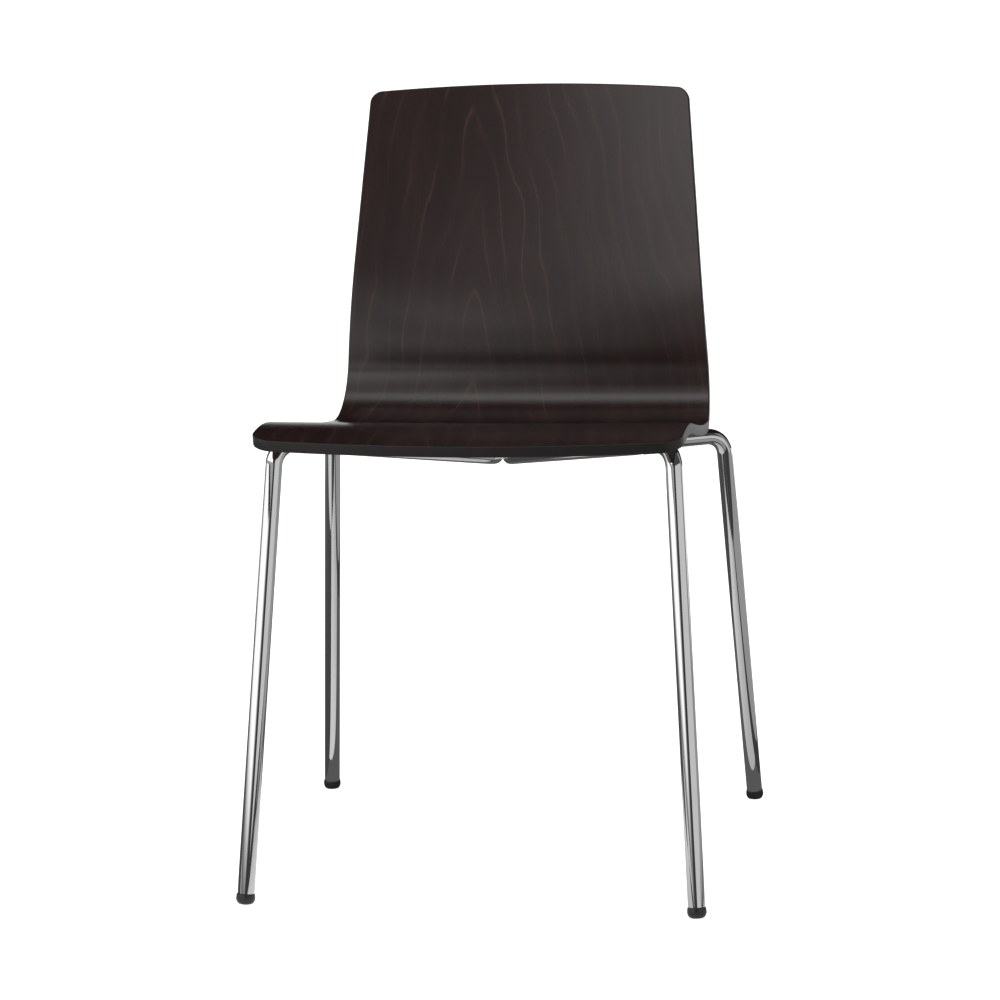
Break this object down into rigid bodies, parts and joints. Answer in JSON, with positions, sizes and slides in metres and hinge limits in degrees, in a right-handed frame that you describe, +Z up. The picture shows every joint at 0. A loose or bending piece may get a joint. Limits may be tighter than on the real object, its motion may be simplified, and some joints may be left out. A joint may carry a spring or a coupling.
{
  "type": "stacking chair",
  "caption": "Stacking chair: a bent plywood seat and back in one piece on a chromed bent-tube frame with black foot caps.",
  "frame": {"origin": "on the floor, at the centre of the footprint of the chair's bounding box", "axes": "+Z up from the floor, -Y towards the front, where the sitter's legs hang, +X towards the right as seen from the front"},
  "size_m": [0.5276, 0.5156, 0.8341],
  "materials": {
    "veneer": "dark brown stained veneer under satin clear lacquer",
    "chrome": "bright polished chrome plate",
    "black_plastic": "moulded black plastic with a fine matte texture",
    "zinc": "bright zinc plate"
  },
  "bodies": {
    "root": {"seat_shell": "veneer", "frame_tube_left": "chrome", "frame_tube_right": "chrome", "waist_bridge": "chrome", "foot_cap_front_left": "black_plastic", "foot_cap_front_right": "black_plastic", "foot_cap_rear_left": "black_plastic", "foot_cap_rear_right": "black_plastic", "screw_front_left": "zinc", "screw_front_right": "zinc", "screw_rear_left": "zinc", "screw_rear_right": "zinc", "spacer_front_left": "black_plastic", "spacer_front_right": "black_plastic", "spacer_rear_left": "black_plastic", "spacer_rear_right": "black_plastic", "threaded_insert_front_left": "zinc", "threaded_insert_front_right": "zinc", "threaded_insert_rear_left": "zinc", "threaded_insert_rear_right": "zinc"}
  },
  "joints": []
}
